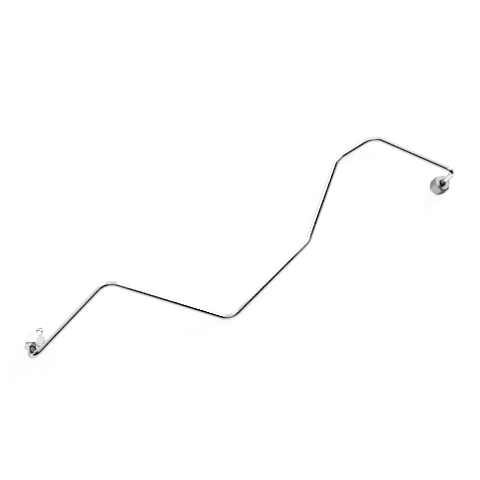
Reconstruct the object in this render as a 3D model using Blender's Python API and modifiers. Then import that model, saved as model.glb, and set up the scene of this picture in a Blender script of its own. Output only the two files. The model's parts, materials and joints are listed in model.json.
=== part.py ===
"""High-pressure injector pipe of a small diesel engine, lying on a table.

One steel tube is bent through seven corners and has a cone head formed at each
end. A loose thrust sleeve sits behind each head, inside a hexagon union nut
that slides and turns on the tube's straight end. Metres, +Z up, origin on the
table under the middle of the pipe.
"""

import math

import bmesh
import bpy
from mathutils import Matrix, Vector

MM = 0.001

# Tube
TUBE_DIAMETER = 6.0 * MM
TUBE_BORE = 2.0 * MM
BEND_RADIUS = 22.0 * MM
LEFT_END_BEND_RADIUS = 12.0 * MM
RIGHT_END_BEND_RADIUS = 5.5 * MM

# Corners of the bent centre line, from the left end to the right end
CORNERS_MM = (
    (-250.55, -155.39, 30.12),
    (-158.89, -60.13, 54.0),
    (-15.65, -91.52, 1.61),
    (77.73, 0.16, 20.0),
    (119.43, 118.83, 2.27),
    (165.51, 145.57, 12.0),
    (255.44, 80.20, 48.18),
)

# Straight legs past the first and last corner: heading from +X, dip below level
LEFT_LEG_HEADING = math.radians(80.3)
LEFT_LEG_DIP = math.radians(28.1)
RIGHT_LEG_HEADING = math.radians(-173.3)
RIGHT_LEG_DIP = math.radians(74.3)

# Cone head formed on each end of the tube
HEAD_STEP = 1.25 * MM
HEAD_CONE_ANGLE = math.radians(60.0)
HEAD_TIP_LAND = 0.6 * MM
HEAD_BAND = 1.2 * MM
HEAD_ROOT_SINK = 0.1 * MM
HEAD_CORE_MARGIN = 0.3 * MM

# Union nut, 19 mm across flats with an M14 x 1.5 thread
NUT_ACROSS_FLATS = 19.0 * MM
NUT_LENGTH = 16.0 * MM
NUT_FACE_DIAMETER = 17.6 * MM
NUT_CHAMFER_ANGLE = math.radians(30.0)
NUT_BACK_WALL = 4.0 * MM
NUT_HOLE_CLEARANCE = 1.3 * MM
NUT_HOLE_EDGE = 0.3 * MM
THREAD_DIAMETER = 14.0 * MM
THREAD_PITCH = 1.5 * MM
THREAD_HEIGHT_RATIO = 1.0825
THREAD_RELIEF_START = 7.2 * MM
THREAD_RELIEF_LENGTH = 2.0 * MM
THREAD_RELIEF_DEPTH = 0.1 * MM
MOUTH_CHAMFER = 0.15 * MM

# Thrust sleeve between the head and the nut's back wall
SLEEVE_LENGTH = 6.5 * MM
SLEEVE_TUBE_CLEARANCE = 0.15 * MM
SLEEVE_NUT_CLEARANCE = 0.25 * MM
SLEEVE_SEAT_MARGIN = 0.4 * MM
SLEEVE_EDGE = 0.5 * MM
SEAT_GAP = 0.3 * MM

# How each nut stands at rest: tube left bare behind it, the way left between its
# sleeve's seat and the head, and the turn of a hexagon corner from the leg's level side
LEFT_BARE_TUBE = 3.85 * MM
LEFT_SEAT_TRAVEL = 15.11 * MM
LEFT_NUT_TURN = math.radians(43.0)
RIGHT_BARE_TUBE = 22.2 * MM
RIGHT_SEAT_TRAVEL = 1.71 * MM
RIGHT_NUT_TURN = math.radians(18.0)

# Finishes: linear base colour and roughness
TUBE_COLOUR = (0.74, 0.74, 0.72)
TUBE_ROUGHNESS = 0.22
NUT_COLOUR = (0.60, 0.60, 0.61)
NUT_ROUGHNESS = 0.34
SLEEVE_COLOUR = (0.20, 0.20, 0.21)
SLEEVE_ROUGHNESS = 0.45

# Fineness of the facets
ARC_STEP = math.radians(9.0)
TUBE_BEVEL_RESOLUTION = 8
BORE_BEVEL_RESOLUTION = 4
TURNED_STEPS = 48
HEXAGON_SIDES = 6
SHARP_ANGLE = math.radians(40.0)
MERGE_DISTANCE = 0.01 * MM
CUTTER_OVERRUN = 1.0 * MM

# Sizes that follow from those above
TUBE_RADIUS = TUBE_DIAMETER / 2
HEAD_RADIUS = TUBE_RADIUS + HEAD_STEP
HEAD_TIP_RADIUS = TUBE_BORE / 2 + HEAD_TIP_LAND
HEAD_CONE_SLOPE = math.tan(HEAD_CONE_ANGLE / 2)
HEAD_CONE_FOOT = (HEAD_RADIUS - HEAD_TIP_RADIUS) / HEAD_CONE_SLOPE
HEAD_BAND_FOOT = HEAD_CONE_FOOT + HEAD_BAND
NUT_CORNER_RADIUS = NUT_ACROSS_FLATS / math.sqrt(3)
NUT_HOLE_RADIUS = TUBE_RADIUS + NUT_HOLE_CLEARANCE
THREAD_MINOR_RADIUS = (THREAD_DIAMETER - THREAD_HEIGHT_RATIO * THREAD_PITCH) / 2
SLEEVE_BORE_RADIUS = TUBE_RADIUS + SLEEVE_TUBE_CLEARANCE
SLEEVE_RADIUS = THREAD_MINOR_RADIUS - SLEEVE_NUT_CLEARANCE
SLEEVE_SEAT_RADIUS = HEAD_RADIUS + SLEEVE_SEAT_MARGIN
SLEEVE_STAND_OFF = NUT_BACK_WALL + SEAT_GAP
SEATED_SLEEVE_FRONT = HEAD_BAND_FOOT - SLEEVE_SEAT_MARGIN
SEATED_NUT_BACK = SEATED_SLEEVE_FRONT + SLEEVE_LENGTH + SLEEVE_STAND_OFF


def clear_scene():
    """Remove every object that the scene starts with."""
    for old in list(bpy.data.objects):
        bpy.data.objects.remove(old)


def new_collection(name):
    """Add a collection to the scene and return it."""
    collection = bpy.data.collections.new(name)
    bpy.context.scene.collection.children.link(collection)
    return collection


def steel(name, colour, roughness):
    """Return a metal material with the given base colour and roughness."""
    material = bpy.data.materials.new(name)
    material.use_nodes = True
    shader = material.node_tree.nodes["Principled BSDF"]
    shader.inputs["Base Color"].default_value = (*colour, 1.0)
    shader.inputs["Metallic"].default_value = 1.0
    shader.inputs["Roughness"].default_value = roughness
    return material


def leg_direction(heading, dip):
    """Unit vector that points along heading and below level by dip."""
    level = math.cos(dip)
    return Vector((level * math.cos(heading), level * math.sin(heading), -math.sin(dip)))


def tangent_length(before, corner, after, radius):
    """Distance from a corner to where its bend of this radius starts."""
    turn = (corner - before).angle(after - corner)
    return radius * math.tan(turn / 2)


def leg_end(neighbour, corner, direction, radius, bare_tube, seat_travel):
    """Tip of a straight leg that holds the bare tube, then the nut, sleeve and head."""
    bend = tangent_length(neighbour, corner, corner + direction, radius)
    return corner + direction * (bend + bare_tube + SEATED_NUT_BACK + seat_travel)


def bend_points(before, corner, after, radius):
    """Points of the arc that rounds one corner of the centre line."""
    arrive = (corner - before).normalized()
    leave = (after - corner).normalized()
    turn = arrive.angle(leave)
    axis = arrive.cross(leave).normalized()
    start = corner - arrive * tangent_length(before, corner, after, radius)
    centre = start + axis.cross(arrive) * radius
    steps = max(2, math.ceil(turn / ARC_STEP))
    spokes = (Matrix.Rotation(turn * step / steps, 3, axis) for step in range(steps + 1))
    return [centre + spoke @ (start - centre) for spoke in spokes]


def centre_line(corners):
    """Points along the tube's axis from tip to tip, with every corner rounded."""
    end_radii = {1: LEFT_END_BEND_RADIUS, len(corners) - 2: RIGHT_END_BEND_RADIUS}
    points = [corners[0]]
    for index in range(1, len(corners) - 1):
        radius = end_radii.get(index, BEND_RADIUS)
        points += bend_points(*corners[index - 1:index + 2], radius)
    points.append(corners[-1])
    return points


def shortened(points, amount):
    """The same line with each end pulled back by amount, or lengthened if it is negative."""
    first = points[0] + (points[1] - points[0]).normalized() * amount
    last = points[-1] + (points[-2] - points[-1]).normalized() * amount
    return [first, *points[1:-1], last]


def swept_tube(name, points, radius, resolution, collection):
    """Solid round bar along the points, as a closed mesh."""
    curve = bpy.data.curves.new(name + "_path", "CURVE")
    curve.dimensions = "3D"
    curve.bevel_depth = radius
    curve.bevel_resolution = resolution
    curve.use_fill_caps = True
    spline = curve.splines.new("POLY")
    spline.points.add(len(points) - 1)
    for knot, point in zip(spline.points, points):
        knot.co = (*point, 1.0)
    guide = bpy.data.objects.new(name + "_path", curve)
    collection.objects.link(guide)
    depsgraph = bpy.context.evaluated_depsgraph_get()
    mesh = bpy.data.meshes.new_from_object(guide.evaluated_get(depsgraph))
    mesh.name = name
    weld = bmesh.new()
    weld.from_mesh(mesh)
    bmesh.ops.remove_doubles(weld, verts=weld.verts, dist=MERGE_DISTANCE)
    weld.to_mesh(mesh)
    weld.free()
    mesh.shade_smooth()
    mesh.set_sharp_from_angle(angle=SHARP_ANGLE)
    swept = bpy.data.objects.new(name, mesh)
    swept.matrix_world = guide.matrix_world
    collection.objects.link(swept)
    bpy.data.objects.remove(guide)
    return swept


def turned(name, profile, closed, collection):
    """Turned shape: a profile in the XZ plane, outer side top to bottom, spun about Z."""
    mesh = bpy.data.meshes.new(name)
    edges = [(index, index + 1) for index in range(len(profile) - 1)]
    if closed:
        edges.append((len(profile) - 1, 0))
    mesh.from_pydata([(radius, 0.0, height) for radius, height in profile], edges, [])
    piece = bpy.data.objects.new(name, mesh)
    collection.objects.link(piece)
    screw = piece.modifiers.new("Turn", "SCREW")
    screw.axis = "Z"
    screw.angle = math.tau
    screw.steps = TURNED_STEPS
    screw.render_steps = TURNED_STEPS
    screw.use_merge_vertices = True
    screw.merge_threshold = MERGE_DISTANCE
    screw.use_smooth_shade = False
    return piece


def combine(target, other, operation):
    """Add a Boolean modifier that joins, cuts or keeps target with another object."""
    modifier = target.modifiers.new(operation.title() + "_" + other.name, "BOOLEAN")
    modifier.operation = operation
    modifier.solver = "EXACT"
    modifier.object = other


def hide_cutter(cutter):
    """Mark an object as a helper that is not part of the pipe."""
    cutter.hide_render = True
    cutter.display_type = "WIRE"


def end_frame(name, tip, direction, collection):
    """Empty at a tube tip, +Z out of the tube and +X level, that carries the end's pieces."""
    side = Vector((0.0, 0.0, 1.0)).cross(direction).normalized()
    rotation = Matrix((side, direction.cross(side), direction)).transposed()
    frame = bpy.data.objects.new(name, None)
    frame.matrix_world = Matrix.Translation(tip) @ rotation.to_4x4()
    frame.empty_display_size = NUT_LENGTH
    collection.objects.link(frame)
    return frame


def place(piece, frame, height, turn=0.0):
    """Hang a piece on an end frame at a height along its axis, turned about it."""
    piece.parent = frame
    piece.location = (0.0, 0.0, height)
    piece.rotation_euler = (0.0, 0.0, turn)


def head_profile():
    """Cone head, tip at height 0: sealing cone, round band and 45 degree shoulder."""
    root_radius = TUBE_RADIUS - HEAD_ROOT_SINK
    shoulder_foot = HEAD_BAND_FOOT + HEAD_RADIUS - root_radius
    return (
        (0.0, 0.0),
        (HEAD_TIP_RADIUS, 0.0),
        (HEAD_RADIUS, -HEAD_CONE_FOOT),
        (HEAD_RADIUS, -HEAD_BAND_FOOT),
        (root_radius, -shoulder_foot),
        (0.0, -shoulder_foot),
    )


def sleeve_profile():
    """Thrust sleeve standing on height 0, with a 45 degree seat in its front end."""
    seat_foot = SLEEVE_LENGTH - (SLEEVE_SEAT_RADIUS - SLEEVE_BORE_RADIUS)
    return (
        (SLEEVE_RADIUS - SLEEVE_EDGE, SLEEVE_LENGTH),
        (SLEEVE_RADIUS, SLEEVE_LENGTH - SLEEVE_EDGE),
        (SLEEVE_RADIUS, SLEEVE_EDGE),
        (SLEEVE_RADIUS - SLEEVE_EDGE, 0.0),
        (SLEEVE_BORE_RADIUS, 0.0),
        (SLEEVE_BORE_RADIUS, seat_foot),
        (SLEEVE_SEAT_RADIUS, SLEEVE_LENGTH),
    )


def nut_envelope_profile():
    """Round bar longer than the nut, whose conical ends chamfer the hexagon's corners."""
    slope = math.tan(NUT_CHAMFER_ANGLE)
    tip_radius = NUT_FACE_DIAMETER / 2 - CUTTER_OVERRUN / slope
    side_radius = NUT_CORNER_RADIUS + CUTTER_OVERRUN
    chamfer = (side_radius - NUT_FACE_DIAMETER / 2) * slope
    return (
        (0.0, NUT_LENGTH + CUTTER_OVERRUN),
        (tip_radius, NUT_LENGTH + CUTTER_OVERRUN),
        (side_radius, NUT_LENGTH - chamfer),
        (side_radius, chamfer),
        (tip_radius, -CUTTER_OVERRUN),
        (0.0, -CUTTER_OVERRUN),
    )


def nut_cavity_profile():
    """Space inside the nut: chamfered mouth, thread, relief, sleeve seat and tube hole."""
    mouth = THREAD_DIAMETER / 2 + MOUTH_CHAMFER
    relief = THREAD_DIAMETER / 2 + THREAD_RELIEF_DEPTH
    relief_end = THREAD_RELIEF_START + THREAD_RELIEF_LENGTH
    return (
        (0.0, NUT_LENGTH + CUTTER_OVERRUN),
        (mouth + CUTTER_OVERRUN, NUT_LENGTH + CUTTER_OVERRUN),
        (THREAD_MINOR_RADIUS, NUT_LENGTH - (mouth - THREAD_MINOR_RADIUS)),
        (THREAD_MINOR_RADIUS, relief_end + (relief - THREAD_MINOR_RADIUS)),
        (relief, relief_end),
        (relief, THREAD_RELIEF_START),
        (THREAD_MINOR_RADIUS, THREAD_RELIEF_START),
        (THREAD_MINOR_RADIUS, NUT_BACK_WALL),
        (NUT_HOLE_RADIUS, NUT_BACK_WALL),
        (NUT_HOLE_RADIUS, NUT_HOLE_EDGE),
        (NUT_HOLE_RADIUS + NUT_HOLE_EDGE + CUTTER_OVERRUN, -CUTTER_OVERRUN),
        (0.0, -CUTTER_OVERRUN),
    )


def hexagon_bar(name, collection):
    """Hexagon prism standing on height 0, with a corner on +X."""
    bar = bmesh.new()
    bmesh.ops.create_cone(
        bar,
        cap_ends=True,
        segments=HEXAGON_SIDES,
        radius1=NUT_CORNER_RADIUS,
        radius2=NUT_CORNER_RADIUS,
        depth=NUT_LENGTH,
    )
    half_side = Matrix.Rotation(math.pi / HEXAGON_SIDES, 4, "Z")
    lift = Matrix.Translation((0.0, 0.0, NUT_LENGTH / 2))
    bmesh.ops.transform(bar, matrix=lift @ half_side, verts=bar.verts)
    mesh = bpy.data.meshes.new(name)
    bar.to_mesh(mesh)
    bar.free()
    nut = bpy.data.objects.new(name, mesh)
    collection.objects.link(nut)
    return nut


def build_tube(corners, frames, pieces, cutters, material):
    """Bent tube with a cone head joined on at each end and the bore cut through it all."""
    line = centre_line(corners)
    core_inset = (TUBE_RADIUS + HEAD_CORE_MARGIN - HEAD_TIP_RADIUS) / HEAD_CONE_SLOPE
    tube = swept_tube(
        "injector_tube", shortened(line, core_inset), TUBE_RADIUS, TUBE_BEVEL_RESOLUTION, pieces
    )
    tube.data.materials.append(material)
    for frame in frames:
        head = turned(frame.name + "_head", head_profile(), False, cutters)
        place(head, frame, 0.0)
        combine(tube, head, "UNION")
        hide_cutter(head)
    bore = swept_tube(
        "bore_cutter", shortened(line, -CUTTER_OVERRUN), TUBE_BORE / 2, BORE_BEVEL_RESOLUTION, cutters
    )
    combine(tube, bore, "DIFFERENCE")
    hide_cutter(bore)


def build_nut(side, frame, nut_back, turn, pieces, cutters, material):
    """Union nut: a hexagon kept inside its chamfered envelope, with the cavity cut out.

    Both cutters stand half a facet round, so that no facet edge meets a hexagon corner.
    """
    nut = hexagon_bar(side + "_union_nut", pieces)
    nut.data.materials.append(material)
    place(nut, frame, nut_back, turn)
    half_facet = math.pi / TURNED_STEPS
    envelope = turned(side + "_nut_envelope", nut_envelope_profile(), False, cutters)
    cavity = turned(side + "_nut_cavity", nut_cavity_profile(), False, cutters)
    for cutter, operation in ((envelope, "INTERSECT"), (cavity, "DIFFERENCE")):
        place(cutter, frame, nut_back, turn + half_facet)
        combine(nut, cutter, operation)
        hide_cutter(cutter)


def build_sleeve(side, frame, nut_back, pieces, material):
    """Thrust sleeve behind the head, seated against the nut's back wall."""
    sleeve = turned(side + "_thrust_sleeve", sleeve_profile(), True, pieces)
    sleeve.data.materials.append(material)
    place(sleeve, frame, nut_back + SLEEVE_STAND_OFF)


def main():
    """Build the pipe from its driving dimensions."""
    clear_scene()
    pieces = new_collection("injector_pipe")
    cutters = new_collection("cutters")
    tube_steel = steel("bright_drawn_steel", TUBE_COLOUR, TUBE_ROUGHNESS)
    nut_steel = steel("zinc_plated_steel", NUT_COLOUR, NUT_ROUGHNESS)
    sleeve_steel = steel("phosphated_steel", SLEEVE_COLOUR, SLEEVE_ROUGHNESS)

    bends = [Vector(corner) * MM for corner in CORNERS_MM]
    left_out = leg_direction(LEFT_LEG_HEADING, LEFT_LEG_DIP)
    right_out = leg_direction(RIGHT_LEG_HEADING, RIGHT_LEG_DIP)
    left_run = (LEFT_END_BEND_RADIUS, LEFT_BARE_TUBE, LEFT_SEAT_TRAVEL)
    right_run = (RIGHT_END_BEND_RADIUS, RIGHT_BARE_TUBE, RIGHT_SEAT_TRAVEL)
    left_tip = leg_end(bends[1], bends[0], left_out, *left_run)
    right_tip = leg_end(bends[-2], bends[-1], right_out, *right_run)
    left_frame = end_frame("left_end", left_tip, left_out, pieces)
    right_frame = end_frame("right_end", right_tip, right_out, pieces)

    build_tube([left_tip, *bends, right_tip], (left_frame, right_frame), pieces, cutters, tube_steel)
    ends = (
        ("left", left_frame, LEFT_SEAT_TRAVEL, LEFT_NUT_TURN),
        ("right", right_frame, RIGHT_SEAT_TRAVEL, RIGHT_NUT_TURN),
    )
    for side, frame, seat_travel, turn in ends:
        nut_back = -SEATED_NUT_BACK - seat_travel
        build_nut(side, frame, nut_back, turn, pieces, cutters, nut_steel)
        build_sleeve(side, frame, nut_back, pieces, sleeve_steel)


main()
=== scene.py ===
"""Looks of a diesel injector pipe that lies on a pale table.

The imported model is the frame: it says where the two union nuts sit, which way the
tube's ends point and how far each nut stands back from its cone head. Around it this
script models the bent tube with its cone heads, the chamfered and threaded union nuts
and the thrust sleeves, gives each its metal, and sets up the table, light and camera.
Everything is in metres with +Z up, and every finished piece sits at the origin with
its place in its mesh.
"""

import json
import logging
import math
from dataclasses import dataclass, field
from enum import Enum

import bpy
from mathutils import Matrix, Vector


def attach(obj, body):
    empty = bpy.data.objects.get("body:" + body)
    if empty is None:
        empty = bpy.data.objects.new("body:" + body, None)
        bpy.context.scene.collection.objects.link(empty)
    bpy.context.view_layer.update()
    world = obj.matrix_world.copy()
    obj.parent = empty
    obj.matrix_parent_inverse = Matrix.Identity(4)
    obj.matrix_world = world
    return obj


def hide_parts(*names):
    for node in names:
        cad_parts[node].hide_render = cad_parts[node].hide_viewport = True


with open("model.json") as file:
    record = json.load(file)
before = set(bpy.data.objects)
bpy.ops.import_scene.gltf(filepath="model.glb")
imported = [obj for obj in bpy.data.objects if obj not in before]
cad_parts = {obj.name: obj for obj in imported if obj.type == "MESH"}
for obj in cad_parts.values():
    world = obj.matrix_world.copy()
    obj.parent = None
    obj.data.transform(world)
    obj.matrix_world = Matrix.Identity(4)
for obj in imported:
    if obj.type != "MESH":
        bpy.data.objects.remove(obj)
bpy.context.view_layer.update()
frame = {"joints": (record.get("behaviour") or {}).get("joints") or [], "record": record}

LOG = logging.getLogger("injector_pipe")
MM = 0.001
FULL_TURN = math.tau
WELD_DISTANCE = 1e-7
SMOOTH_BELOW = math.radians(25.0)
MOST_OF_A_SIDE = 0.45
OWN_AXES = "own_axes"
LEFT_NUT_TURN = math.radians(43.0)
RIGHT_NUT_TURN = math.radians(18.0)
Outline = list[tuple[float, float]]


class End(Enum):
    """The two ends of the pipe, named as the frame names them."""

    LEFT = "left"
    RIGHT = "right"


def linear(colour: str) -> tuple[float, float, float, float]:
    """Turn an sRGB hex colour into linear light.

    Args:
        colour: The colour as #RRGGBB.

    Returns:
        Linear red, green and blue, with an alpha of 1.
    """
    channels = [int(colour[start:start + 2], 16) / 255 for start in (1, 3, 5)]
    light = [c / 12.92 if c <= 0.04045 else ((c + 0.055) / 1.055) ** 2.4 for c in channels]
    return (*light, 1.0)


def add_node(tree: bpy.types.NodeTree, kind: str, settings: dict, links: dict) -> bpy.types.Node:
    """Add a shader node, set it up and link its inputs.

    Args:
        tree: The node tree that the node goes into.
        kind: The node's type, such as ShaderNodeMix.
        settings: Properties by name, and input values by input name or number.
        links: Output sockets by the name or number of the input that each feeds.

    Returns:
        The new node.
    """
    node = tree.nodes.new(kind)
    for key, value in settings.items():
        if isinstance(key, str) and hasattr(node, key):
            setattr(node, key, value)
        else:
            node.inputs[key].default_value = value
    for key, socket in links.items():
        tree.links.new(socket, node.inputs[key])
    return node


def empty_material(name: str) -> tuple[bpy.types.Material, bpy.types.NodeTree]:
    """Make a material whose node tree is still empty.

    Args:
        name: The material's name.

    Returns:
        The material and its node tree.
    """
    material = bpy.data.materials.new(name)
    material.use_nodes = True
    material.node_tree.nodes.clear()
    return material, material.node_tree


def select_only(piece: bpy.types.Object) -> None:
    """Deselect everything, then select one piece and make it active."""
    bpy.ops.object.select_all(action="DESELECT")
    piece.select_set(True)
    bpy.context.view_layer.objects.active = piece


def settle(piece: bpy.types.Object, place: Matrix) -> None:
    """Move a piece by a placing matrix and write the place into its mesh.

    Args:
        piece: The piece, modelled about the origin.
        place: The matrix from the piece's own axes to the frame.
    """
    select_only(piece)
    piece.matrix_world = place @ piece.matrix_world
    bpy.ops.object.transform_apply(location=True, rotation=True, scale=True)


def apply_boolean(piece: bpy.types.Object, cutter: bpy.types.Object, operation: str) -> None:
    """Join, cut or trim a piece with another one, which is then removed.

    Args:
        piece: The piece that is kept.
        cutter: The shape that works on it.
        operation: UNION, DIFFERENCE or INTERSECT.
    """
    select_only(piece)
    modifier = piece.modifiers.new(operation.title(), "BOOLEAN")
    modifier.operation = operation
    modifier.solver = "EXACT"
    modifier.object = cutter
    bpy.ops.object.modifier_apply(modifier=modifier.name)
    bpy.data.objects.remove(cutter)


def turn_on_lathe(name: str, outline: Outline, sides: int, closed: bool) -> bpy.types.Object:
    """Model a turned shape about Z: a ring that is extruded and resized station by station.

    Args:
        name: The new object's name.
        outline: Radius and height of each station.
        sides: Sides of each ring.
        closed: True where the last station meets the first, as on a tube or sleeve, and
            False where both ends are closed with flat caps.

    Returns:
        The turned object, with its faces pointing out.
    """
    bpy.ops.object.select_all(action="DESELECT")
    radius, height = outline[0]
    bpy.ops.mesh.primitive_circle_add(vertices=sides, radius=radius, location=(0.0, 0.0, height))
    piece = bpy.context.active_object
    piece.name = name
    bpy.ops.object.mode_set(mode="EDIT")
    bpy.ops.mesh.select_all(action="SELECT")
    if not closed:
        bpy.ops.mesh.edge_face_add()
    for next_radius, next_height in outline[1:] + (outline[:1] if closed else []):
        move = (0.0, 0.0, next_height - height)
        bpy.ops.mesh.extrude_region_move(TRANSFORM_OT_translate={"value": move})
        grow = next_radius / radius
        bpy.ops.transform.resize(value=(grow, grow, 1.0), center_override=(0.0, 0.0, next_height))
        radius, height = next_radius, next_height
    bpy.ops.mesh.select_all(action="SELECT")
    bpy.ops.mesh.remove_doubles(threshold=WELD_DISTANCE)
    bpy.ops.mesh.normals_make_consistent(inside=False)
    bpy.ops.object.mode_set(mode="OBJECT")
    return piece


def soften(outline: Outline, cut: float, steps: int = 3, closed: bool = False) -> Outline:
    """Round the corners of an outline, as a deburred edge is.

    Args:
        outline: Radius and height of each corner.
        cut: How far each corner is cut back along its sides.
        steps: Short sides that make each rounding.
        closed: True where the outline's ends meet, so that those corners are rounded too.

    Returns:
        The outline with every rounded corner as a few points.
    """
    corners = [Vector(corner) for corner in outline]
    last = len(corners) - 1
    softened: Outline = []
    for index, corner in enumerate(corners):
        if not closed and index in (0, last):
            softened.append(tuple(corner))
            continue
        before = corners[index - 1] - corner
        after = corners[(index + 1) % len(corners)] - corner
        reach = min(cut, before.length * MOST_OF_A_SIDE, after.length * MOST_OF_A_SIDE)
        start = corner + before.normalized() * reach
        end = corner + after.normalized() * reach
        for step in range(steps + 1):
            t = step / steps
            point = start * (1 - t) ** 2 + corner * (2 * t * (1 - t)) + end * t ** 2
            softened.append(tuple(point))
    return softened


@dataclass(frozen=True)
class PipeEnd:
    """Where one end of the pipe is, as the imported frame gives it.

    Attributes:
        end: Which end it is.
        mouth: Centre of the nut's open face.
        out: Unit vector along the straight end, out of the tube.
        tip: Centre of the cone head's flat tip.
    """

    end: End
    mouth: Vector
    out: Vector
    tip: Vector

    @classmethod
    def read(cls, end: End) -> "PipeEnd":
        """Read an end's joint and mount from the frame.

        Args:
            end: The end to read.

        Returns:
            The end's places.
        """
        joint = next(j for j in frame["joints"] if j["name"] == f"{end.value}_nut_turn")
        mounts = frame["record"]["mounts"]
        land = next(m for m in mounts if m["name"] == f"{end.value}_cone_tip")
        mouth, out = Vector(joint["pos_m"]), Vector(joint["axis"]).normalized()
        return cls(end, mouth, out, mouth + out * (Vector(land["pos_m"]) - mouth).dot(out))

    def axes(self, origin: Vector, turn: float = 0.0) -> Matrix:
        """Placing matrix with +Z out of the tube and +X level.

        Args:
            origin: Where the piece's own origin goes.
            turn: Turn about the axis, in radians.

        Returns:
            The matrix from the piece's own axes to the frame.
        """
        side = Vector((0.0, 0.0, 1.0)).cross(self.out).normalized()
        rotation = Matrix((side, self.out.cross(side), self.out)).transposed().to_4x4()
        return Matrix.Translation(origin) @ rotation @ Matrix.Rotation(turn, 4, "Z")


@dataclass(frozen=True)
class Finish:
    """A procedural metal, built as one Principled shader.

    Attributes:
        name: The material's name.
        light: Its lighter colour, as an sRGB hex value.
        dark: Its darker colour, in the mottling and the tool marks.
        edge: The tint that the metal takes at grazing angles.
        roughness: Lowest and highest roughness.
    """

    name: str
    light: str
    dark: str
    edge: str
    roughness: tuple[float, float]

    def start(self, part: str = "") -> tuple[bpy.types.Material, bpy.types.NodeTree, bpy.types.Node]:
        """Make the material with its shader and output.

        Args:
            part: What the name adds where a finish has two materials.

        Returns:
            The material, its node tree and its Principled node.
        """
        material, tree = empty_material("_".join(filter(None, (self.name, part))))
        shader = add_node(tree, "ShaderNodeBsdfPrincipled", {
            "Metallic": 1.0,
            "Specular Tint": linear(self.edge),
        }, {})
        add_node(tree, "ShaderNodeOutputMaterial", {}, {"Surface": shader.outputs["BSDF"]})
        return material, tree, shader

    def spread(self, tree: bpy.types.NodeTree, shader: bpy.types.Node,
               mottle: bpy.types.NodeSocket, marks: bpy.types.NodeSocket,
               roughness: tuple[float, float]) -> None:
        """Feed the shader's colour and roughness from two patterns.

        Args:
            tree: The material's node tree.
            shader: Its Principled node.
            mottle: A slow pattern from 0 to 1, for the colour.
            marks: A fine pattern from 0 to 1, for the roughness.
            roughness: Lowest and highest roughness.
        """
        colour = add_node(tree, "ShaderNodeMix", {
            "data_type": "RGBA",
            6: linear(self.light),
            7: linear(self.dark),
        }, {0: mottle})
        low, high = roughness
        polish = add_node(tree, "ShaderNodeMapRange", {3: low, 4: high}, {0: marks})
        tree.links.new(colour.outputs[2], shader.inputs["Base Color"])
        tree.links.new(polish.outputs[0], shader.inputs["Roughness"])

    def emboss(self, tree: bpy.types.NodeTree, shader: bpy.types.Node,
               height: bpy.types.NodeSocket, depth: float) -> None:
        """Give the surface a fine relief.

        Args:
            tree: The material's node tree.
            shader: Its Principled node.
            height: The relief's pattern, from 0 to 1.
            depth: Its real depth in metres.
        """
        bump = add_node(tree, "ShaderNodeBump", {"Distance": depth}, {"Height": height})
        tree.links.new(bump.outputs[0], shader.inputs["Normal"])


@dataclass(frozen=True)
class BrightDrawnTube(Finish):
    """Cold-drawn steel tube, plated with clear zinc.

    Drawing through a die leaves it nearly mirror-smooth, with faint lines along its
    length; the thin zinc gives it a slow, barely seen mottling. The real lines are too
    fine for a picture, so they are drawn coarser.
    """

    name: str = "clear_zinc_on_drawn_steel_tube"
    light: str = "#F6F6F4"
    dark: str = "#F0F0EE"
    edge: str = "#202020"
    roughness: tuple[float, float] = (0.02, 0.05)
    draw_line: float = 0.25 * MM
    draw_length: float = 60.0 * MM
    mottle_size: float = 9.0 * MM
    line_depth: float = 0.0015 * MM

    def material(self) -> bpy.types.Material:
        """Build the material on the tube's unrolled coordinates."""
        material, tree, shader = self.start()
        unrolled = add_node(tree, "ShaderNodeAttribute", {"attribute_name": InjectorTube.UNROLLED}, {})
        stretch = add_node(tree, "ShaderNodeMapping", {
            "Scale": (1 / self.draw_line, 1 / self.draw_line, 1 / self.draw_length),
        }, {"Vector": unrolled.outputs["Vector"]})
        lines = add_node(tree, "ShaderNodeTexNoise", {"Scale": 1.0, "Detail": 3.0},
                         {"Vector": stretch.outputs["Vector"]})
        mottle = add_node(tree, "ShaderNodeTexNoise", {"Scale": 1 / self.mottle_size, "Detail": 2.0},
                          {"Vector": unrolled.outputs["Vector"]})
        self.spread(tree, shader, mottle.outputs[0], lines.outputs[0], self.roughness)
        self.emboss(tree, shader, lines.outputs[0], self.line_depth)
        return material


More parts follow.
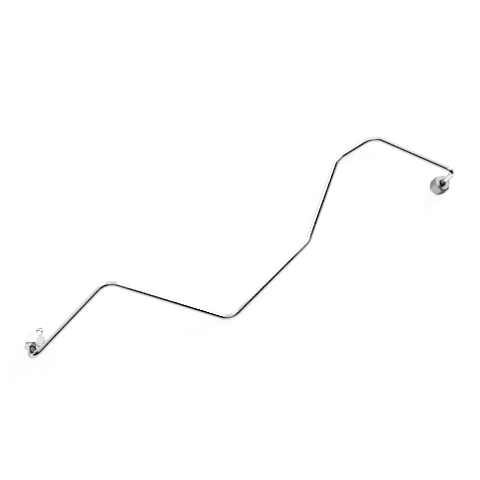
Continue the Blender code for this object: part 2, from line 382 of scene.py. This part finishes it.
@dataclass(frozen=True)
class MachinedZinc(Finish):
    """Steel machined from hexagon bar and plated with clear zinc.

    The bar's flats keep lines along their length from drawing, and the turned faces
    have the cutter's fine rings, so the two kinds of face shine in different ways. Both
    patterns are drawn coarser than real ones, which are too fine for a picture.
    """

    # These defaults are the left nut's copy of the plating, its colours painted light as if lit
    name: str = "new_clear_zinc_on_machined_steel"
    light: str = "#F0F0F2"
    dark: str = "#DEDEE0"
    edge: str = "#4A4A4C"
    roughness: tuple[float, float] = (0.22, 0.36)
    turned_roughness: tuple[float, float] = (0.20, 0.32)
    bar_line: float = 0.22 * MM
    bar_length: float = 14.0 * MM
    ring_pitch: float = 0.30 * MM
    mottle_size: float = 2.6 * MM
    line_depth: float = 0.004 * MM

    def material(self, turned: bool) -> bpy.types.Material:
        """Build the material for a nut's flats or for its turned faces.

        Args:
            turned: True for the turned faces, False for the flats.

        Returns:
            The material, which reads the nut's own axes from an attribute.
        """
        material, tree, shader = self.start("turned_faces" if turned else "bar_flats")
        own = add_node(tree, "ShaderNodeAttribute", {"attribute_name": OWN_AXES}, {})
        if turned:
            level = add_node(tree, "ShaderNodeVectorMath", {"operation": "MULTIPLY", 1: (1.0, 1.0, 0.0)},
                             {0: own.outputs["Vector"]})
            radius = add_node(tree, "ShaderNodeVectorMath", {"operation": "LENGTH"},
                              {0: level.outputs["Vector"]})
            rings = add_node(tree, "ShaderNodeMath", {"operation": "MULTIPLY", 1: 1 / self.ring_pitch},
                             {0: radius.outputs["Value"]})
            lines = add_node(tree, "ShaderNodeTexNoise", {
                "noise_dimensions": "1D",
                "Scale": 1.0,
                "Detail": 2.0,
            }, {"W": rings.outputs[0]})
        else:
            stretch = add_node(tree, "ShaderNodeMapping", {
                "Scale": (1 / self.bar_line, 1 / self.bar_line, 1 / self.bar_length),
            }, {"Vector": own.outputs["Vector"]})
            lines = add_node(tree, "ShaderNodeTexNoise", {"Scale": 1.0, "Detail": 3.0},
                             {"Vector": stretch.outputs["Vector"]})
        mottle = add_node(tree, "ShaderNodeTexNoise", {"Scale": 1 / self.mottle_size, "Detail": 3.0},
                          {"Vector": own.outputs["Vector"]})
        roughness = self.turned_roughness if turned else self.roughness
        self.spread(tree, shader, mottle.outputs[0], lines.outputs[0], roughness)
        self.emboss(tree, shader, lines.outputs[0], self.line_depth)
        return material


# The two nuts are lit and shaded copies of one plating: the left one is painted light and nearly white, as
# if lit, and the right one is painted a soft grey as painted shade, with rougher turned faces
PAINTED_LIT_ZINC = MachinedZinc()
PAINTED_SHADE_ZINC = MachinedZinc("dulled_clear_zinc_on_machined_steel", "#CDCDD0", "#ABABAE",
                           turned_roughness=(0.30, 0.44))


@dataclass(frozen=True)
class PhosphatedSteel(Finish):
    """Turned steel with a dark phosphate coat, which looks dull and finely grained.

    The coat's crystals are too fine for a picture, so the grain is drawn coarser.
    """

    name: str = "phosphated_steel"
    light: str = "#6A6B6C"
    dark: str = "#454647"
    edge: str = "#3A3A3B"
    roughness: tuple[float, float] = (0.38, 0.55)
    grain: float = 0.35 * MM
    mottle_size: float = 2.0 * MM
    grain_depth: float = 0.01 * MM

    def material(self) -> bpy.types.Material:
        """Build the material on object coordinates."""
        material, tree, shader = self.start()
        spot = add_node(tree, "ShaderNodeTexCoord", {}, {})
        crystals = add_node(tree, "ShaderNodeTexVoronoi", {"Scale": 1 / self.grain},
                            {"Vector": spot.outputs["Object"]})
        mottle = add_node(tree, "ShaderNodeTexNoise", {"Scale": 1 / self.mottle_size, "Detail": 3.0},
                          {"Vector": spot.outputs["Object"]})
        self.spread(tree, shader, mottle.outputs[0], crystals.outputs["Distance"], self.roughness)
        self.emboss(tree, shader, crystals.outputs["Distance"], self.grain_depth)
        return material


@dataclass
class InjectorTube:
    """The bent tube with its through bore and its two cone heads. Sizes in metres."""

    UNROLLED = "unrolled"

    left: PipeEnd
    right: PipeEnd
    radius: float = 3.0 * MM
    bore_radius: float = 1.0 * MM
    bore_edge: float = 0.12 * MM
    bend_radius: float = 22.0 * MM
    left_end_bend_radius: float = 12.0 * MM
    right_end_bend_radius: float = 5.5 * MM
    head_radius: float = 4.25 * MM
    tip_radius: float = 1.6 * MM
    head_half_angle: float = math.radians(30.0)
    head_band: float = 1.2 * MM
    head_edge: float = 0.25 * MM
    sides: int = 48
    bend_step: float = math.radians(4.0)
    corners_mm: tuple[tuple[float, float, float], ...] = (
        (-250.55, -155.39, 30.12),
        (-158.89, -60.13, 54.0),
        (-15.65, -91.52, 1.61),
        (77.73, 0.16, 20.0),
        (119.43, 118.83, 2.27),
        (165.51, 145.57, 12.0),
        (255.44, 80.20, 48.18),
    )
    rings: list[tuple[float, float]] = field(default_factory=list)

    def head_outline(self) -> Outline:
        """Radius and distance from the tip of the head's tip, cone, band and shoulder."""
        cone_foot = (self.head_radius - self.tip_radius) / math.tan(self.head_half_angle)
        band_foot = cone_foot + self.head_band
        corners = [
            (self.bore_radius + self.bore_edge, 0.0),
            (self.tip_radius, 0.0),
            (self.head_radius, cone_foot),
            (self.head_radius, band_foot),
            (self.radius, band_foot + self.head_radius - self.radius),
            (self.radius, band_foot + 2 * (self.head_radius - self.radius)),
        ]
        return soften(corners, self.head_edge)

    def route(self) -> tuple[list[float], list[tuple[Vector, float, float]], list[Vector]]:
        """Work out the straights and bends from the corner points.

        Returns:
            The straights' lengths, each bend's axis, turn and radius, and the straights'
            directions, from the left tip to the right one.
        """
        points = [self.left.tip, *(Vector(corner) * MM for corner in self.corners_mm), self.right.tip]
        runs = [after - before for before, after in zip(points, points[1:])]
        headings = [run.normalized() for run in runs]
        lengths = [run.length for run in runs]
        end_radii = {0: self.left_end_bend_radius, len(headings) - 2: self.right_end_bend_radius}
        bends = []
        for index, (arrive, leave) in enumerate(zip(headings, headings[1:])):
            radius = end_radii.get(index, self.bend_radius)
            turn = arrive.angle(leave)
            trim = radius * math.tan(turn / 2)
            lengths[index] -= trim
            lengths[index + 1] -= trim
            bends.append((arrive.cross(leave).normalized(), turn, radius))
        return lengths, bends, headings

    def feed(self, place: Vector, heading: Vector, length: float, radius: float) -> Vector:
        """Extrude the selected ring along a heading and give it a new radius.

        Args:
            place: The ring's centre.
            heading: Unit vector to feed along.
            length: How far, which may be nothing or backwards.
            radius: The new ring's radius.

        Returns:
            The new ring's centre.
        """
        bpy.ops.mesh.extrude_region_move(TRANSFORM_OT_translate={"value": heading * length})
        place = place + heading * length
        grow = radius / self.rings[-1][0]
        bpy.ops.transform.resize(value=(grow, grow, grow), center_override=place)
        self.rings.append((radius, self.rings[-1][1] + length))
        return place

    def bend(self, place: Vector, heading: Vector, axis: Vector, turn: float, radius: float) -> Vector:
        """Spin the selected ring round a bend, as a bending machine does.

        Args:
            place: The ring's centre.
            heading: Unit vector at the start of the bend.
            axis: The bend's axis, about which the turn is right-handed.
            turn: The bend's angle.
            radius: The bend's radius.

        Returns:
            The ring's centre after the bend.
        """
        centre = place + axis.cross(heading) * radius
        steps = max(2, math.ceil(turn / self.bend_step))
        bpy.ops.mesh.spin(steps=steps, angle=turn, center=centre, axis=-axis)
        ring_radius, travelled = self.rings[-1]
        for step in range(1, steps + 1):
            self.rings.append((ring_radius, travelled + radius * turn * step / steps))
        return centre + Matrix.Rotation(turn, 3, axis) @ (place - centre)

    def build(self) -> bpy.types.Object:
        """Model the outside from tip to tip, then the bore back to the start.

        Returns:
            The tube as one closed surface.
        """
        lengths, bends, headings = self.route()
        head = self.head_outline()
        head_length = head[-1][1]
        bpy.ops.object.select_all(action="DESELECT")
        place, heading = self.left.tip.copy(), headings[0]
        upright = heading.to_track_quat("Z", "Y").to_euler()
        bpy.ops.mesh.primitive_circle_add(
            vertices=self.sides, radius=head[0][0], location=place, rotation=upright)
        bpy.ops.object.transform_apply(location=True, rotation=True, scale=True)
        tube = bpy.context.active_object
        tube.name = "bent_injector_tube"
        self.rings.append((head[0][0], 0.0))
        bpy.ops.object.mode_set(mode="EDIT")
        bpy.ops.mesh.select_all(action="SELECT")
        for (_, before), (radius, after) in zip(head, head[1:]):
            place = self.feed(place, heading, after - before, radius)
        lengths[0] -= head_length
        lengths[-1] -= head_length
        for index, length in enumerate(lengths):
            place = self.feed(place, headings[index], length, self.radius)
            if index < len(bends):
                place = self.bend(place, headings[index], *bends[index])
        for (_, before), (radius, after) in zip(head[::-1], head[-2::-1]):
            place = self.feed(place, headings[-1], before - after, radius)
        self.drill(place, lengths, bends, headings, head_length)
        self.unroll(tube)
        bpy.ops.object.mode_set(mode="EDIT")
        bpy.ops.mesh.select_all(action="SELECT")
        bpy.ops.mesh.remove_doubles(threshold=WELD_DISTANCE)
        bpy.ops.mesh.normals_make_consistent(inside=False)
        bpy.ops.object.mode_set(mode="OBJECT")
        bpy.ops.object.shade_smooth_by_angle(angle=SMOOTH_BELOW)
        return tube

    def drill(self, place: Vector, lengths: list[float], bends: list[tuple[Vector, float, float]],
              headings: list[Vector], head_length: float) -> None:
        """Carry the ring back through the tube as its bore, to meet the first ring.

        Args:
            place: The centre of the last ring, at the right tip.
            lengths: The straights' lengths without the heads.
            bends: Each bend's axis, turn and radius.
            headings: The straights' directions.
            head_length: Length of each head's outline.
        """
        full = list(lengths)
        full[0] += head_length - self.bore_edge
        full[-1] += head_length - self.bore_edge
        place = self.feed(place, -headings[-1], self.bore_edge, self.bore_radius)
        for index in range(len(full) - 1, -1, -1):
            place = self.feed(place, -headings[index], full[index], self.bore_radius)
            if index:
                axis, turn, radius = bends[index - 1]
                place = self.bend(place, -headings[index], -axis, turn, radius)
        self.feed(place, -headings[0], self.bore_edge, self.bore_radius + self.bore_edge)
        bpy.ops.object.mode_set(mode="OBJECT")

    def unroll(self, tube: bpy.types.Object) -> None:
        """Store where each point was on the straight tube, for patterns that follow it."""
        attribute = tube.data.attributes.new(self.UNROLLED, "FLOAT_VECTOR", "POINT")
        for ring, (radius, travelled) in enumerate(self.rings):
            for side in range(self.sides):
                angle = FULL_TURN * side / self.sides
                straight = (radius * math.cos(angle), radius * math.sin(angle), travelled)
                attribute.data[ring * self.sides + side].vector = straight

    def dress(self, tube: bpy.types.Object) -> None:
        """Give the tube its metal and tie it to the frame."""
        tube.data.materials.append(BrightDrawnTube().material())
        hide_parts("injector_tube")
        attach(tube, "pipe")


@dataclass
class UnionNut:
    """Hexagon union nut with chamfered ends and a real thread. Sizes in metres.

    It is modelled with its back face at height 0 and its open mouth at the top.
    """

    across_flats: float = 19.0 * MM
    length: float = 16.0 * MM
    face_radius: float = 8.8 * MM
    chamfer_slope: float = math.tan(math.radians(30.0))
    corner_break: float = 0.25 * MM
    back_wall: float = 4.0 * MM
    hole_radius: float = 4.3 * MM
    hole_edge: float = 0.3 * MM
    thread_radius: float = 7.0 * MM
    thread_pitch: float = 1.5 * MM
    minor_radius: float = 6.188 * MM
    relief_start: float = 7.2 * MM
    relief_length: float = 2.0 * MM
    groove_depth: float = 0.1 * MM
    mouth_chamfer: float = 0.15 * MM
    overrun: float = 1.0 * MM
    sides: int = 128
    corner_steps: int = 3
    upright_below: float = 0.1

    def hexagon(self) -> bpy.types.Object:
        """Hexagon bar with a corner on +X and its six long edges broken."""
        bpy.ops.object.select_all(action="DESELECT")
        bpy.ops.mesh.primitive_cylinder_add(
            vertices=6,
            radius=self.across_flats / math.sqrt(3),
            depth=self.length,
            location=(0.0, 0.0, self.length / 2),
            rotation=(0.0, 0.0, math.radians(30.0)),
        )
        bar = bpy.context.active_object
        bar.name = "hexagon_union_nut"
        bpy.ops.object.transform_apply(location=True, rotation=True, scale=True)
        points = bar.data.vertices
        for edge in bar.data.edges:
            start, end = (points[number].co for number in edge.vertices)
            edge.select = abs(start.z - end.z) > self.length / 2
        for face in bar.data.polygons:
            face.select = False
        bpy.ops.object.mode_set(mode="EDIT")
        bpy.ops.mesh.select_mode(type="EDGE")
        bpy.ops.mesh.bevel(offset=self.corner_break, segments=self.corner_steps, affect="EDGES")
        bpy.ops.mesh.select_mode(type="VERT")
        bpy.ops.object.mode_set(mode="OBJECT")
        return bar

    def chamfered_bar(self) -> bpy.types.Object:
        """Round bar with conical ends, which trims the hexagon's corners."""
        widest = self.across_flats / math.sqrt(3) + self.overrun
        chamfer = (widest - self.face_radius) * self.chamfer_slope
        narrowest = self.face_radius - self.overrun / self.chamfer_slope
        outline = [
            (narrowest, -self.overrun),
            (widest, chamfer),
            (widest, self.length - chamfer),
            (narrowest, self.length + self.overrun),
        ]
        return turn_on_lathe("nut_chamfer", outline, self.sides, closed=False)

    def cavity(self) -> bpy.types.Object:
        """Tube hole, sleeve seat, thread core, relief groove and chamfered mouth."""
        relief = self.thread_radius + self.groove_depth
        relief_end = self.relief_start + self.relief_length
        mouth = self.thread_radius + self.mouth_chamfer
        outline = [
            (self.hole_radius + self.hole_edge + self.overrun, -self.overrun),
            (self.hole_radius, self.hole_edge),
            (self.hole_radius, self.back_wall),
            (self.minor_radius, self.back_wall),
            (self.minor_radius, self.relief_start),
            (relief, self.relief_start),
            (relief, relief_end),
            (self.minor_radius, relief_end + relief - self.minor_radius),
            (self.minor_radius, self.length - (mouth - self.minor_radius)),
            (mouth + self.overrun, self.length + self.overrun),
        ]
        return turn_on_lathe("nut_cavity", outline, self.sides, closed=False)

    def thread_groove(self) -> bpy.types.Object:
        """Helical 60 degree groove, from inside the relief groove to past the mouth.

        Its section is an equilateral triangle, which is half as high again as the radius
        of the circle through its corners.
        """
        tip = self.thread_radius + self.groove_depth / 2
        foot = self.minor_radius - self.groove_depth
        size = (tip - foot) / 1.5
        start = self.relief_start + self.relief_length / 2
        turns = math.ceil((self.length + self.overrun - start) / self.thread_pitch)
        bpy.ops.object.select_all(action="DESELECT")
        bpy.ops.mesh.primitive_circle_add(
            vertices=3,
            radius=size,
            location=(tip - size, 0.0, start),
            rotation=(math.radians(90.0), math.radians(90.0), 0.0),
        )
        groove = bpy.context.active_object
        bpy.ops.object.transform_apply(location=True, rotation=True, scale=True)
        screw = groove.modifiers.new("Thread", "SCREW")
        screw.axis = "Z"
        screw.angle = FULL_TURN
        screw.screw_offset = self.thread_pitch
        screw.iterations = turns
        screw.steps = screw.render_steps = self.sides
        screw.use_merge_vertices = False
        bpy.ops.object.modifier_apply(modifier=screw.name)
        bpy.ops.object.mode_set(mode="EDIT")
        bpy.ops.mesh.select_all(action="SELECT")
        bpy.ops.mesh.fill_holes(sides=3)
        bpy.ops.mesh.select_all(action="SELECT")
        bpy.ops.mesh.normals_make_consistent(inside=False)
        bpy.ops.object.mode_set(mode="OBJECT")
        return groove

    def build(self) -> bpy.types.Object:
        """Trim the hexagon, bore it, cut its thread and mark its turned faces.

        Returns:
            The nut about its own axes.
        """
        nut = self.hexagon()
        apply_boolean(nut, self.chamfered_bar(), "INTERSECT")
        apply_boolean(nut, self.cavity(), "DIFFERENCE")
        apply_boolean(nut, self.thread_groove(), "DIFFERENCE")
        select_only(nut)
        bpy.ops.object.shade_smooth_by_angle(angle=SMOOTH_BELOW)
        own_axes = nut.data.attributes.new(OWN_AXES, "FLOAT_VECTOR", "POINT")
        for point in nut.data.vertices:
            own_axes.data[point.index].vector = point.co
        nut.data.materials.clear()
        for _ in ("bar flats", "turned faces"):
            nut.data.materials.append(None)
        for face in nut.data.polygons:
            outside = face.center.xy.length > self.face_radius
            upright = abs(face.normal.z) < self.upright_below
            face.material_index = 0 if outside and upright else 1
        return nut

    def fit(self, nut: bpy.types.Object, end: PipeEnd, turn: float,
            finish: MachinedZinc) -> bpy.types.Object:
        """Copy the nut onto an end of the pipe.

        Args:
            nut: The nut about its own axes.
            end: The end that it goes on.
            turn: Turn of its first corner from the end's level side.
            finish: Its plating, one of the two copies whose colours are painted lit and painted shaded.

        Returns:
            The copy, in place and tied to the frame.
        """
        select_only(nut)
        bpy.ops.object.duplicate(linked=False)
        copy = bpy.context.active_object
        side = end.end.value
        copy.name = f"{side}_hexagon_union_nut"
        settle(copy, end.axes(end.mouth - end.out * self.length, turn))
        for turned in (False, True):
            copy.data.materials[int(turned)] = finish.material(turned)
        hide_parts(f"{side}_union_nut")
        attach(copy, f"{side}_nut")
        return copy


@dataclass
class ThrustSleeve:
    """Turned sleeve that the nut pushes against the cone head. Sizes in metres."""

    length: float = 6.5 * MM
    bore_radius: float = 3.15 * MM
    radius: float = 5.938 * MM
    seat_radius: float = 4.65 * MM
    edge: float = 0.5 * MM
    softening: float = 0.12 * MM
    stand_off: float = 4.3 * MM
    sides: int = 96

    def build(self) -> bpy.types.Object:
        """Turn the sleeve with its seat in its front end and give it its finish."""
        outline = [
            (self.bore_radius, 0.0),
            (self.radius - self.edge, 0.0),
            (self.radius, self.edge),
            (self.radius, self.length - self.edge),
            (self.radius - self.edge, self.length),
            (self.seat_radius, self.length),
            (self.bore_radius, self.length - (self.seat_radius - self.bore_radius)),
        ]
        softened = soften(outline, self.softening, closed=True)
        sleeve = turn_on_lathe("turned_thrust_sleeve", softened, self.sides, closed=True)
        bpy.ops.object.shade_smooth_by_angle(angle=SMOOTH_BELOW)
        sleeve.data.materials.append(PhosphatedSteel().material())
        return sleeve

    def fit(self, sleeve: bpy.types.Object, end: PipeEnd, nut_length: float) -> bpy.types.Object:
        """Copy the sleeve into the nut on one end of the pipe.

        Args:
            sleeve: The sleeve about its own axes.
            end: The end that it goes on.
            nut_length: Length of the nut that holds it.

        Returns:
            The copy, in place and tied to the frame.
        """
        select_only(sleeve)
        bpy.ops.object.duplicate(linked=False)
        copy = bpy.context.active_object
        side = end.end.value
        copy.name = f"{side}_turned_thrust_sleeve"
        settle(copy, end.axes(end.mouth - end.out * (nut_length - self.stand_off)))
        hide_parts(f"{side}_thrust_sleeve")
        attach(copy, f"{side}_sleeve")
        return copy


@dataclass(frozen=True)
class Flag:
    """A black studio card, as a piece of a sphere round the pipe. Angles in degrees.

    Attributes:
        first: Compass bearing of its first side, from +X and counter-clockwise.
        last: Bearing of its last side.
        foot: Height of its lower edge above the horizon.
        top: Height of its upper edge.
    """

    first: float
    last: float
    foot: float
    top: float


@dataclass(frozen=True)
class Lamp:
    """A square soft box that is turned towards the pipe. Sizes in metres, power in watts."""

    name: str
    place: tuple[float, float, float]
    size: float
    power: float


@dataclass
class Studio:
    """The pale table, the soft light and the camera. Sizes in metres, angles in radians.

    Attributes:
        table_share: How much of the table's own white the camera and the metal see, next
            to its lit and shadowed surface.
        sky_level: Brightness of the white surroundings, where 1 is white.
        flags: The black cards, overhead ones last.
        lamps: The soft boxes.
    """

    table_size: float = 12.0
    table_white: str = "#F6F6F6"
    table_share: float = 0.8
    sky_white: str = "#FFFFFF"
    sky_level: float = 1.0
    flag_radius: float = 30.0
    flag_black: str = "#000000"
    flag_segments: int = 96
    flag_rings: int = 48
    flags: tuple[Flag, ...] = (
        Flag(-226.0, -205.0, 44.0, 55.0),
        Flag(-205.0, -185.0, 0.0, 53.0),
        Flag(-185.0, -130.0, 0.0, 54.0),
        Flag(-130.0, -100.0, 0.0, 76.0),
        Flag(-100.0, -40.0, 0.0, 80.0),
        Flag(-40.0, 8.0, 0.0, 62.0),
        Flag(8.0, 28.0, 0.0, 56.0),
        Flag(28.0, 42.0, 28.0, 48.0),
        Flag(42.0, 102.0, 38.0, 54.0),
        Flag(-180.0, 0.0, 80.0, 90.0),
        Flag(0.0, 180.0, 80.0, 90.0),
    )
    lamps: tuple[Lamp, ...] = (
        Lamp("soft_key", (-1.30, 2.08, 1.14), 1.0, 6.0),
        Lamp("soft_fill", (1.54, 1.97, 1.27), 1.0, 30.0),
    )
    aim: tuple[float, float, float] = (-0.00453, 0.01012, 0.0)
    camera_distance: float = 1.150
    camera_elevation: float = math.radians(70.0)
    camera_focal_px: float = 932.0
    image_px: float = 480.0
    sensor_mm: float = 36.0

    def table(self) -> None:
        """Lay a matt white table top under the pipe, which keeps the pipe's soft shadow."""
        bpy.ops.object.select_all(action="DESELECT")
        bpy.ops.mesh.primitive_plane_add(size=self.table_size, location=(0.0, 0.0, 0.0))
        top = bpy.context.active_object
        top.name = "table_top"
        material, tree = empty_material("matt_white_table")
        seen = self.seen_ray(tree)
        matt = add_node(tree, "ShaderNodeBsdfDiffuse", {"Color": linear(self.table_white)}, {})
        white = add_node(tree, "ShaderNodeEmission", {"Strength": 1.0}, {})
        share = add_node(tree, "ShaderNodeMath", {"operation": "MULTIPLY", 1: self.table_share}, {0: seen})
        both = add_node(tree, "ShaderNodeMixShader", {}, {
            "Fac": share.outputs[0],
            1: matt.outputs[0],
            2: white.outputs[0],
        })
        add_node(tree, "ShaderNodeOutputMaterial", {}, {"Surface": both.outputs[0]})
        top.data.materials.append(material)

    def seen_ray(self, tree: bpy.types.NodeTree) -> bpy.types.NodeSocket:
        """Add nodes that give 1 where the camera sees the surface directly or mirrored.

        Args:
            tree: The node tree of the table.

        Returns:
            The socket that carries the 1 or 0.
        """
        path = add_node(tree, "ShaderNodeLightPath", {}, {})
        direct = add_node(tree, "ShaderNodeMath", {"operation": "MAXIMUM"}, {
            0: path.outputs["Is Camera Ray"],
            1: path.outputs["Is Glossy Ray"],
        })
        seen = add_node(tree, "ShaderNodeMath", {"operation": "MAXIMUM"}, {
            0: direct.outputs[0],
            1: path.outputs["Is Transmission Ray"],
        })
        return seen.outputs[0]

    def sky(self) -> None:
        """Plain white surroundings, which light the pipe and show in its metal."""
        world = bpy.data.worlds.new("white_studio")
        bpy.context.scene.world = world
        world.use_nodes = True
        tree = world.node_tree
        tree.nodes.clear()
        white = add_node(tree, "ShaderNodeBackground", {
            "Color": linear(self.sky_white),
            "Strength": self.sky_level,
        }, {})
        add_node(tree, "ShaderNodeOutputWorld", {}, {"Surface": white.outputs[0]})

    def hang_flags(self) -> None:
        """Hang the black cards round the table, which only the metal mirrors.

        They give bright steel on a white table its dark line.
        """
        material, tree = empty_material("black_cloth")
        black = add_node(tree, "ShaderNodeBsdfDiffuse", {"Color": linear(self.flag_black)}, {})
        add_node(tree, "ShaderNodeOutputMaterial", {}, {"Surface": black.outputs[0]})
        for number, flag in enumerate(self.flags, 1):
            bpy.ops.object.select_all(action="DESELECT")
            bpy.ops.mesh.primitive_uv_sphere_add(
                segments=self.flag_segments, ring_count=self.flag_rings, radius=self.flag_radius)
            card = bpy.context.active_object
            card.name = f"black_flag_{number}"
            start, stop = math.radians(flag.first), math.radians(flag.last)
            low = self.flag_radius * math.sin(math.radians(flag.foot))
            high = self.flag_radius * math.sin(math.radians(flag.top))
            cuts = (
                ((0.0, 0.0, low), (0.0, 0.0, -1.0)),
                ((0.0, 0.0, high), (0.0, 0.0, 1.0)),
                ((0.0, 0.0, 0.0), (math.sin(start), -math.cos(start), 0.0)),
                ((0.0, 0.0, 0.0), (-math.sin(stop), math.cos(stop), 0.0)),
            )
            bpy.ops.object.mode_set(mode="EDIT")
            for place, normal in cuts:
                bpy.ops.mesh.select_all(action="SELECT")
                bpy.ops.mesh.bisect(plane_co=place, plane_no=normal, clear_outer=True)
            bpy.ops.object.mode_set(mode="OBJECT")
            card.data.materials.append(material)
            card.visible_camera = False
            card.visible_diffuse = False
            card.visible_transmission = False
            card.visible_shadow = False

    def hang_lamps(self) -> None:
        """Hang the soft boxes, each turned towards the pipe."""
        for lamp in self.lamps:
            light = bpy.data.lights.new(lamp.name, "AREA")
            light.shape = "SQUARE"
            light.size = lamp.size
            light.energy = lamp.power
            box = bpy.data.objects.new(lamp.name, light)
            bpy.context.scene.collection.objects.link(box)
            box.location = lamp.place
            box.rotation_euler = (-Vector(lamp.place)).to_track_quat("-Z", "Y").to_euler()

    def camera(self) -> None:
        """Stand the camera where the photograph was taken from."""
        data = bpy.data.cameras.new("camera")
        data.sensor_width = self.sensor_mm
        data.lens = self.sensor_mm * self.camera_focal_px / self.image_px
        camera = bpy.data.objects.new("camera", data)
        bpy.context.scene.collection.objects.link(camera)
        level, rise = math.cos(self.camera_elevation), math.sin(self.camera_elevation)
        camera.location = Vector(self.aim) + Vector((0.0, -level, rise)) * self.camera_distance
        camera.rotation_euler = (math.radians(90.0) - self.camera_elevation, 0.0, 0.0)
        bpy.context.scene.camera = camera

    def build(self) -> None:
        """Set up the table, the surroundings, the lamps and the camera."""
        self.table()
        self.sky()
        self.hang_flags()
        self.hang_lamps()
        self.camera()
        bpy.context.scene.view_settings.view_transform = "Standard"


def main() -> None:
    """Build the pipe's pieces in order, then the studio, and report each one."""
    logging.basicConfig(level=logging.INFO, format="%(message)s")
    left, right = PipeEnd.read(End.LEFT), PipeEnd.read(End.RIGHT)
    tube_maker = InjectorTube(left, right)
    tube = tube_maker.build()
    tube_maker.dress(tube)
    LOG.info("%s: %d faces", tube.name, len(tube.data.polygons))
    nut_maker, sleeve_maker = UnionNut(), ThrustSleeve()
    nut, sleeve = nut_maker.build(), sleeve_maker.build()
    # The left nut gets the plating painted light as if lit, the right nut the plating painted darker as
    # painted shade
    for end, turn, finish in ((left, LEFT_NUT_TURN, PAINTED_LIT_ZINC), (right, RIGHT_NUT_TURN, PAINTED_SHADE_ZINC)):
        pieces = (nut_maker.fit(nut, end, turn, finish), sleeve_maker.fit(sleeve, end, nut_maker.length))
        for piece in pieces:
            LOG.info("%s: %d faces", piece.name, len(piece.data.polygons))
    for pattern in (nut, sleeve):
        bpy.data.objects.remove(pattern)
    Studio().build()


if __name__ == "__main__":
    main()
